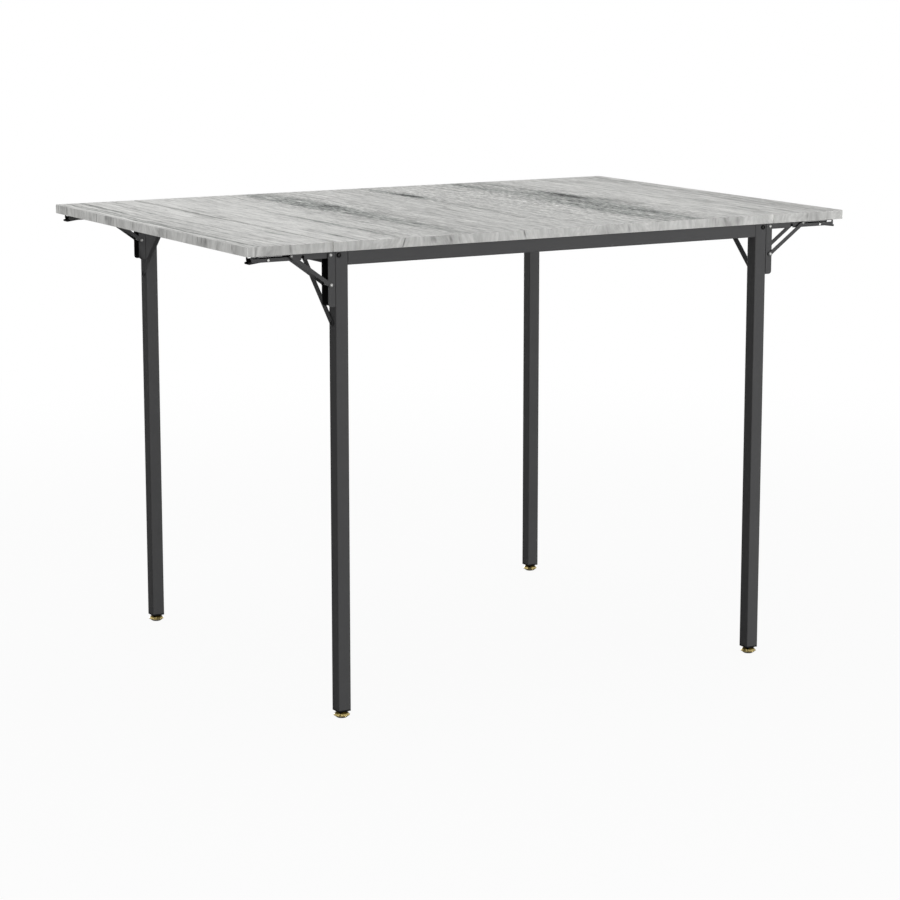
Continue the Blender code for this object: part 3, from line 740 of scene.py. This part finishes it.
class TopSettings(bpy.types.PropertyGroup):
    """The laminated top."""

    brightness: bpy.props.FloatProperty(
        name="Brightness",
        description="Middle tone of the upper face",
        default=0.82,
        min=0,
        max=1,
        subtype="FACTOR",
    )
    edge_brightness: bpy.props.FloatProperty(
        name="Edge brightness",
        description="Middle tone of the long edges",
        default=0.67,
        min=0,
        max=1,
        subtype="FACTOR",
    )
    # The ends' tone is painted lighter, to stand for light that these sideways faces lack
    end_brightness_with_painted_light: bpy.props.FloatProperty(
        name="End brightness with painted light",
        description="Middle tone of the leaves' ends and of the edges inside the seams",
        default=0.90,
        min=0,
        max=1,
        subtype="FACTOR",
    )
    tint: bpy.props.FloatVectorProperty(
        name="Tint",
        description="Hue of the pale wood",
        default=(1.0, 1.0, 0.975),
        min=0,
        max=1,
        subtype="COLOR",
    )
    dark_tint: bpy.props.FloatVectorProperty(
        name="Dark tint",
        description="Hue of the dark bands",
        default=(0.965, 1.0, 0.965),
        min=0,
        max=1,
        subtype="COLOR",
    )
    fibre_width: bpy.props.FloatProperty(
        name="Fibre width",
        description="Width of a fibre streak",
        default=2.4 * MM,
        min=0.5 * MM,
        unit="LENGTH",
    )
    fibre_contrast: bpy.props.FloatProperty(
        name="Fibre contrast",
        description="Depth of the fibre streaks",
        default=0.4,
        min=0,
        max=1,
        subtype="FACTOR",
    )
    band_depth: bpy.props.FloatProperty(
        name="Band depth",
        description="Strength of the dark bands",
        default=1.55,
        min=0,
        max=3,
    )
    gloss: bpy.props.FloatProperty(
        name="Gloss",
        description="Specular level of the laminate",
        default=0.1,
        min=0,
        max=1,
        subtype="FACTOR",
    )
    grain_wander: bpy.props.FloatProperty(
        name="Grain wander",
        description="How far the grain swings sideways",
        default=24 * MM,
        min=0,
        unit="LENGTH",
    )
    roughness: bpy.props.FloatProperty(
        name="Roughness",
        description="Roughness of the laminate",
        default=0.6,
        min=0,
        max=1,
        subtype="FACTOR",
    )


class CoatSettings(bpy.types.PropertyGroup):
    """The powder coat on the frame and brackets."""

    colour: bpy.props.FloatVectorProperty(
        name="Colour",
        description="Colour of the coat",
        default=(0.058, 0.058, 0.059),
        min=0,
        max=1,
        subtype="COLOR",
    )
    roughness: bpy.props.FloatProperty(
        name="Roughness",
        description="Roughness of the coat",
        default=0.5,
        min=0,
        max=1,
        subtype="FACTOR",
    )
    gloss: bpy.props.FloatProperty(
        name="Gloss",
        description="Specular level of the coat",
        default=0.03,
        min=0,
        max=1,
        subtype="FACTOR",
    )
    # Strength of the shade painted inside the brackets' channels
    channel_painted_shade: bpy.props.FloatProperty(
        name="Painted channel shade",
        description="How dark the channels are inside",
        default=0.8,
        min=0,
        max=1,
        subtype="FACTOR",
    )
    peel_size: bpy.props.FloatProperty(
        name="Peel size",
        description="Width of a lump of orange peel",
        default=0.7 * MM,
        min=0.1 * MM,
        unit="LENGTH",
    )


class HardwareSettings(bpy.types.PropertyGroup):
    """Feet, plugs, springs and fasteners."""

    zinc_colour: bpy.props.FloatVectorProperty(
        name="Zinc",
        description="Colour of the pins, the rivets and the leaves' screws",
        default=(0.26, 0.26, 0.255),
        min=0,
        max=1,
        subtype="COLOR",
    )
    brass_colour: bpy.props.FloatVectorProperty(
        name="Brass",
        description="Colour of the feet",
        default=(0.54, 0.43, 0.18),
        min=0,
        max=1,
        subtype="COLOR",
    )
    # Also the colour of the painted shade and the painted reflection on the feet
    brass_tarnish_and_painted_dark: bpy.props.FloatVectorProperty(
        name="Tarnish",
        description="Colour of dull brass",
        default=(0.04, 0.027, 0.004),
        min=0,
        max=1,
        subtype="COLOR",
    )
    plastic_colour: bpy.props.FloatVectorProperty(
        name="Plastic",
        description="Colour of the plugs",
        default=(0.005, 0.005, 0.0055),
        min=0,
        max=1,
        subtype="COLOR",
    )
    wire_colour: bpy.props.FloatVectorProperty(
        name="Wire",
        description="Colour of the springs",
        default=(0.42, 0.42, 0.43),
        min=0,
        max=1,
        subtype="COLOR",
    )
    bolt_colour: bpy.props.FloatVectorProperty(
        name="Bolts",
        description="Colour of the black bolts and screws",
        default=(0.004, 0.004, 0.004),
        min=0,
        max=1,
        subtype="COLOR",
    )
    thread_pitch: bpy.props.FloatProperty(
        name="Thread pitch",
        description="Pitch of the feet's thread",
        default=1.25 * MM,
        min=0.3 * MM,
        unit="LENGTH",
    )
    bolt_diameter: bpy.props.FloatProperty(
        name="Bolt head",
        description="Diameter of a leg bolt's head",
        default=7.8 * MM,
        min=2 * MM,
        unit="LENGTH",
    )
    screw_diameter: bpy.props.FloatProperty(
        name="Screw head",
        description="Diameter of a screw's head",
        default=7.2 * MM,
        min=2 * MM,
        unit="LENGTH",
    )


class StudioSettings(bpy.types.PropertyGroup):
    """Floor, lamps and camera."""

    ambient: bpy.props.FloatProperty(
        name="Ambient",
        description="Strength of the light from all round",
        default=0.3,
        min=0,
    )
    overhead_power: bpy.props.FloatProperty(
        name="Overhead",
        description="Power of the softbox above",
        default=36.0,
        min=0,
        unit="POWER",
    )
    key_power: bpy.props.FloatProperty(
        name="Key",
        description="Power of the softbox at the front right",
        default=205.0,
        min=0,
        unit="POWER",
    )
    fill_power: bpy.props.FloatProperty(
        name="Fill",
        description="Power of the softbox at the left",
        default=12.0,
        min=0,
        unit="POWER",
    )
    rear_power: bpy.props.FloatProperty(
        name="Rear",
        description="Power of the softbox behind the table",
        default=60.0,
        min=0,
        unit="POWER",
    )
    floor_size: bpy.props.FloatProperty(
        name="Floor",
        description="Side of the floor",
        default=30.0,
        min=1,
        unit="LENGTH",
    )
    floor_glow: bpy.props.FloatProperty(
        name="Floor white",
        description="Share of plain white in the floor by the table",
        default=0.94,
        min=0,
        max=1,
        subtype="FACTOR",
    )
    camera_place: bpy.props.FloatVectorProperty(
        name="Camera",
        description="Place of the camera",
        default=(-2.32458, -4.04067, 1.21393),
        subtype="TRANSLATION",
    )
    camera_turn: bpy.props.FloatProperty(
        name="Turn",
        description="Turn of the camera from +Y to +X",
        default=0.52374,
        unit="ROTATION",
    )
    camera_dip: bpy.props.FloatProperty(
        name="Dip",
        description="How far the camera looks down",
        default=0.1873,
        unit="ROTATION",
    )
    lens: bpy.props.FloatProperty(
        name="Lens",
        description="Focal length on a 36 mm sensor",
        default=109.98,
        min=1,
        unit="CAMERA",
    )


class TABLE_OT_finish_top(bpy.types.Operator):
    """Gives the three panels their wood laminate"""

    bl_idname = "table.finish_top"
    bl_label = "Finish Top"

    def execute(self, context):
        dress(laminate_finish(context.scene.table_top), ["centre_panel", "left_leaf", "right_leaf"])
        return {"FINISHED"}


class TABLE_OT_coat_frame(bpy.types.Operator):
    """Gives the tubes, braces and bracket steel their powder coat"""

    bl_idname = "table.coat_frame"
    bl_label = "Coat Frame"

    def execute(self, context):
        coat = context.scene.table_coat
        rails = ["front_rail", "back_rail", "left_end_rail", "right_end_rail"]
        steel = corner_nodes("leg", "brace", "outer_stay_bar", "inner_stay_bar")
        dress(coat_finish(coat, "charcoal_powder_coat"), rails + steel)
        # The brackets' channels get coats with painted shade inside
        for piece, inside in CHANNELS.items():
            dress(coat_finish(coat, f"{piece}_powder_coat", inside), corner_nodes(piece))
        return {"FINISHED"}


class TABLE_OT_finish_hardware(bpy.types.Operator):
    """Gives the pins, plugs and springs their finishes"""

    bl_idname = "table.finish_hardware"
    bl_label = "Finish Hardware"

    def execute(self, context):
        hardware = context.scene.table_hardware
        dress(zinc_finish(hardware), corner_nodes("arm_pin", "stay_pin", "lever_pin"))
        dress(plastic_finish(hardware), corner_nodes("leg_plug"))
        dress(spring_finish(hardware), corner_nodes("lever_spring"))
        return {"FINISHED"}


class TABLE_OT_turn_feet(bpy.types.Operator):
    """Makes the four turned brass feet"""

    bl_idname = "table.turn_feet"
    bl_label = "Turn Feet"

    def execute(self, context):
        hardware = context.scene.table_hardware
        brass = brass_finish(hardware)
        foot = turned_foot(hardware.thread_pitch)
        for corner, sx, sy in CORNERS:
            shape = stand(foot, [(sx * LEG_X, sy * LEG_Y, 0)], UP, (1, 0, 0))
            node = f"{corner}_levelling_foot"
            add_piece(f"{corner}_turned_foot", [shape], brass, f"{corner}_foot", node)
            dress(brass, [node])
        return {"FINISHED"}


class TABLE_OT_wind_springs(bpy.types.Operator):
    """Winds the levers' return springs"""

    bl_idname = "table.wind_springs"
    bl_label = "Wind Springs"

    def execute(self, context):
        wire = finish_of("front_right_lever_spring")
        spring = coil(SPRING_LOW.z + SPRING_WIRE, SPRING_HIGH.z - SPRING_WIRE)
        for corner, sx, sy in CORNERS:
            x, y = sx * SPRING_X, sy * LEG_Y
            shape = stand(spring, [(x, y, 0)], UP, (sx, 0, 0))
            node = f"{corner}_lever_spring"
            piece = add_piece(f"{corner}_return_spring", [shape], wire, LEAVES[sx], node)
            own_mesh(piece)
        return {"FINISHED"}


class TABLE_OT_add_bolts(bpy.types.Operator):
    """Adds the socket-head bolts on the legs and at both ends of each brace"""

    bl_idname = "table.add_bolts"
    bl_label = "Add Bolts"

    def execute(self, context):
        hardware = context.scene.table_hardware
        black = black_bolt_finish(hardware)
        radius = hardware.bolt_diameter / 2
        head = domed_head(radius, LEG_BOLT_HEIGHT, 0.5 * radius, LEG_BOLT_RECESS, hexagon)
        x, y, z = LEG_X + LEG_BOLT_OUT, -LEG_LOW.y, LEG_HIGH.z - LEG_BOLT_DROP
        places = [(sx * x, sy * y, z) for _, sx, sy in CORNERS]
        outs = [(0, sy, 0) for _, _, sy in CORNERS]
        add_piece("leg_bolts", [stand(head, places, outs, UP)], black, "frame")

        radius, socket, half = BRACE_BOLT_RADIUS, BRACE_BOLT_SOCKET, BRACE_HALF_WIDTH
        low = domed_head(radius, LOWER_BOLT_HEIGHT, socket, LOWER_BOLT_RECESS, hexagon)
        high = domed_head(radius, UPPER_BOLT_HEIGHT, socket, UPPER_BOLT_RECESS, hexagon)
        face = BRACE_HIGH.x
        lower = [(sx * face, sy * (-BRACE_LOW.y - half), BRACE_LOW.z + half) for _, sx, sy in CORNERS]
        upper = [(sx * face, sy * (half - BRACE_HIGH.y), BRACE_HIGH.z - half) for _, sx, sy in CORNERS]
        outs = [(sx, 0, 0) for _, sx, _ in CORNERS]
        shapes = [stand(low, lower, outs, UP), stand(high, upper, outs, UP)]
        add_piece("brace_bolts", shapes, black, "frame")
        return {"FINISHED"}


class TABLE_OT_add_rivets(bpy.types.Operator):
    """Adds the domed rivet heads on the brackets' pins and on the ends of the stays"""

    bl_idname = "table.add_rivets"
    bl_label = "Add Rivets"

    def execute(self, context):
        zinc = finish_of("front_right_arm_pin")
        pin_head = rivet_head(PIN_HEAD_RADIUS, RIVET_HEIGHT)
        stay_head = rivet_head(STAY_RIVET_RADIUS, RIVET_HEIGHT)
        for corner, sx, sy in CORNERS:
            middle = sy * LEG_Y
            fold_x, _, fold_z = LEAF_FOLDS[f"{LEAVES[sx]}_fold"]
            turn_x, _, turn_z = STAY_TURNS[f"{corner}_stay_turn"]
            shapes = [
                head_pair(pin_head, fold_x, fold_z, middle, ARM_PIN_REACH - PIN_HEAD_SINK),
                head_pair(pin_head, turn_x, turn_z, middle, STAY_PIN_REACH - PIN_HEAD_SINK),
            ]
            add_piece(f"{corner}_pin_heads", shapes, zinc, "frame")
            head_x, head_z = fold_x + sx * STAY_HEAD_OUT, fold_z + STAY_HEAD_RISE
            shape = head_pair(stay_head, head_x, head_z, middle, STAY_BAR_REACH - STAY_RIVET_SINK)
            add_piece(f"{corner}_stay_rivets", [shape], zinc, f"{corner}_stay")
        return {"FINISHED"}


class TABLE_OT_add_screws(bpy.types.Operator):
    """Adds the screws through the wall plates, the arms and the rails"""

    bl_idname = "table.add_screws"
    bl_label = "Add Screws"

    def execute(self, context):
        zinc = finish_of("front_right_arm_pin")
        black = bpy.data.materials["black_oxide_steel"]
        radius = context.scene.table_hardware.screw_diameter / 2
        screw = domed_head(radius, SCREW_HEIGHT, 0.5 * radius, SCREW_RECESS, cross, SCREW_SIDES)

        web = PLATE_LOW.x + PLATE_STEEL
        heights = [PANEL_LOW.z - drop for drop in PLATE_SCREW_DROPS]
        places = [(sx * web, sy * LEG_Y, z) for _, sx, sy in CORNERS for z in heights]
        outs = [(sx, 0, 0) for _, sx, _ in CORNERS for _ in heights]
        shape = stand(screw, places, outs, UP)
        add_piece("wall_plate_screws", [shape], black, "frame")

        web = ARM_HIGH.z - ARM_WEB
        for side, sx in SIDES.items():
            axis = LEAF_FOLDS[f"{side}_leaf_fold"][0]
            places = [(axis + sx * out, sy * LEG_Y, web) for sy in ENDS.values() for out in ARM_SCREWS_OUT]
            shape = stand(screw, places, DOWN, (1, 0, 0))
            add_piece(f"{side}_leaf_screws", [shape], zinc, f"{side}_leaf")

        low = domed_head(radius, RAIL_SCREW_HEIGHT, 0.55 * radius, RAIL_SCREW_RECESS, cross, SCREW_SIDES)
        places = [(x, sy * LEG_Y, RAIL_LOW.z) for x in RAIL_SCREWS_X for sy in ENDS.values()]
        places += [(sx * LEG_X, y, RAIL_LOW.z) for y in END_RAIL_SCREWS_Y for sx in SIDES.values()]
        shape = stand(low, places, DOWN, (1, 0, 0))
        add_piece("rail_screws", [shape], black, "frame")
        return {"FINISHED"}


def light_path(sheet, ray):
    """1 for rays of this kind and 0 for the others."""
    return sheet.node("ShaderNodeLightPath", None, None, ray)


def white_surroundings(studio):
    """A world that is white to the camera and in reflections, and gives the ambient light."""
    world = bpy.data.worlds.new("studio")
    sheet = Sheet(world)
    straight, mirrored = (light_path(sheet, ray) for ray in ("Is Camera Ray", "Is Glossy Ray"))
    strength = studio.ambient + (straight + mirrored) * (1 - studio.ambient)
    sheet.plug(sheet.tree.nodes["Background"], {"Color": (1, 1, 1, 1), "Strength": strength})
    return world


def floor_finish(studio):
    """Pale paint that is mostly plain white to the camera, and all white far from the table."""
    grey = (FLOOR_GREY, FLOOR_GREY, FLOOR_GREY, 1)
    sheet = new_finish("pale_floor", base_color=grey, roughness=FLOOR_ROUGHNESS, specular_ior_level=0.0)
    lit = Socket(sheet, sheet.tree.nodes["Principled BSDF"].outputs[0])
    white = sheet.node("ShaderNodeEmission", None, {"Color": (1, 1, 1, 1), "Strength": 1.0})
    away = sheet.rise(sheet.vector("LENGTH", sheet.place(), result="Value"), *FLOOR_FADE)
    glow = studio.floor_glow + away * (1 - studio.floor_glow)
    sockets = {0: light_path(sheet, "Is Camera Ray") * glow, 1: lit, 2: white}
    mixed = sheet.node("ShaderNodeMixShader", None, sockets)
    sheet.plug(sheet.tree.nodes["Material Output"], {"Surface": mixed})
    return sheet.owner


def add_floor(studio):
    """A flat square about the origin, on a grid of three points by three."""
    half = studio.floor_size / 2
    grid = np.linspace(-half, half, 3)
    points = np.stack([*np.meshgrid(grid, grid), np.zeros((3, 3))], 2).reshape(-1, 3)
    index = np.arange(9).reshape(3, 3)
    faces = np.stack([index[:-1, :-1], index[:-1, 1:], index[1:, 1:], index[1:, :-1]], 2).reshape(-1, 4)
    mesh = bpy.data.meshes.new("floor")
    mesh.from_pydata(points.tolist(), [], faces.tolist())
    mesh.materials.append(floor_finish(studio))
    floor = bpy.data.objects.new("floor", mesh)
    bpy.context.scene.collection.objects.link(floor)


def add_softbox(name, place, size, power):
    """An area lamp that faces the table."""
    lamp = bpy.data.lights.new(name, "AREA")
    lamp.shape = "RECTANGLE"
    lamp.size, lamp.size_y = size
    lamp.energy = power
    box = bpy.data.objects.new(name, lamp)
    box.location = place
    box.rotation_mode = "QUATERNION"
    box.rotation_quaternion = (Vector(SOFTBOX_AIM) - Vector(place)).to_track_quat("-Z", "Y")
    box.visible_camera = False
    bpy.context.scene.collection.objects.link(box)


def add_camera(studio):
    """The camera at the photograph's viewing angle."""
    lens = bpy.data.cameras.new("camera")
    lens.lens = studio.lens
    lens.sensor_width = SENSOR_WIDTH
    camera = bpy.data.objects.new("camera", lens)
    camera.location = studio.camera_place
    camera.rotation_euler = (math.pi / 2 - studio.camera_dip, 0, -studio.camera_turn)
    bpy.context.scene.collection.objects.link(camera)
    return camera


class TABLE_OT_build_studio(bpy.types.Operator):
    """Makes the floor, the surroundings, the lamps and the camera"""

    bl_idname = "table.build_studio"
    bl_label = "Build Studio"

    def execute(self, context):
        scene = context.scene
        studio = scene.table_studio
        scene.view_settings.view_transform = "Standard"
        scene.world = white_surroundings(studio)
        add_floor(studio)
        for name, (place, size) in SOFTBOXES.items():
            add_softbox(f"{name}_softbox", place, size, getattr(studio, f"{name}_power"))
        scene.camera = add_camera(studio)
        return {"FINISHED"}


class TABLE_PT_build(bpy.types.Panel):
    """Lists the table's operators and settings"""

    bl_label = "Drop-Leaf Table"
    bl_idname = "TABLE_PT_build"
    bl_space_type = "VIEW_3D"
    bl_region_type = "UI"
    bl_category = "Table"

    def draw(self, context):
        for operator in OPERATORS:
            self.layout.operator(operator.bl_idname)
        for group in SETTINGS:
            box = self.layout.box()
            settings = getattr(context.scene, group)
            for name in settings.bl_rna.properties.keys():
                if name not in ("rna_type", "name"):
                    box.prop(settings, name)


SETTINGS = {
    "table_top": TopSettings,
    "table_coat": CoatSettings,
    "table_hardware": HardwareSettings,
    "table_studio": StudioSettings,
}
OPERATORS = (
    TABLE_OT_finish_top,
    TABLE_OT_coat_frame,
    TABLE_OT_finish_hardware,
    TABLE_OT_turn_feet,
    TABLE_OT_wind_springs,
    TABLE_OT_add_bolts,
    TABLE_OT_add_rivets,
    TABLE_OT_add_screws,
    TABLE_OT_build_studio,
)


def register():
    for group in (*SETTINGS.values(), *OPERATORS, TABLE_PT_build):
        bpy.utils.register_class(group)
    for name, group in SETTINGS.items():
        setattr(bpy.types.Scene, name, bpy.props.PointerProperty(type=group))


def unregister():
    for name in SETTINGS:
        delattr(bpy.types.Scene, name)
    for group in (TABLE_PT_build, *OPERATORS, *SETTINGS.values()):
        bpy.utils.unregister_class(group)


def main():
    register()
    bpy.ops.table.finish_top()
    bpy.ops.table.coat_frame()
    bpy.ops.table.finish_hardware()
    bpy.ops.table.turn_feet()
    bpy.ops.table.wind_springs()
    bpy.ops.table.add_bolts()
    bpy.ops.table.add_rivets()
    bpy.ops.table.add_screws()
    bpy.ops.table.build_studio()


if __name__ == "__main__":
    main()
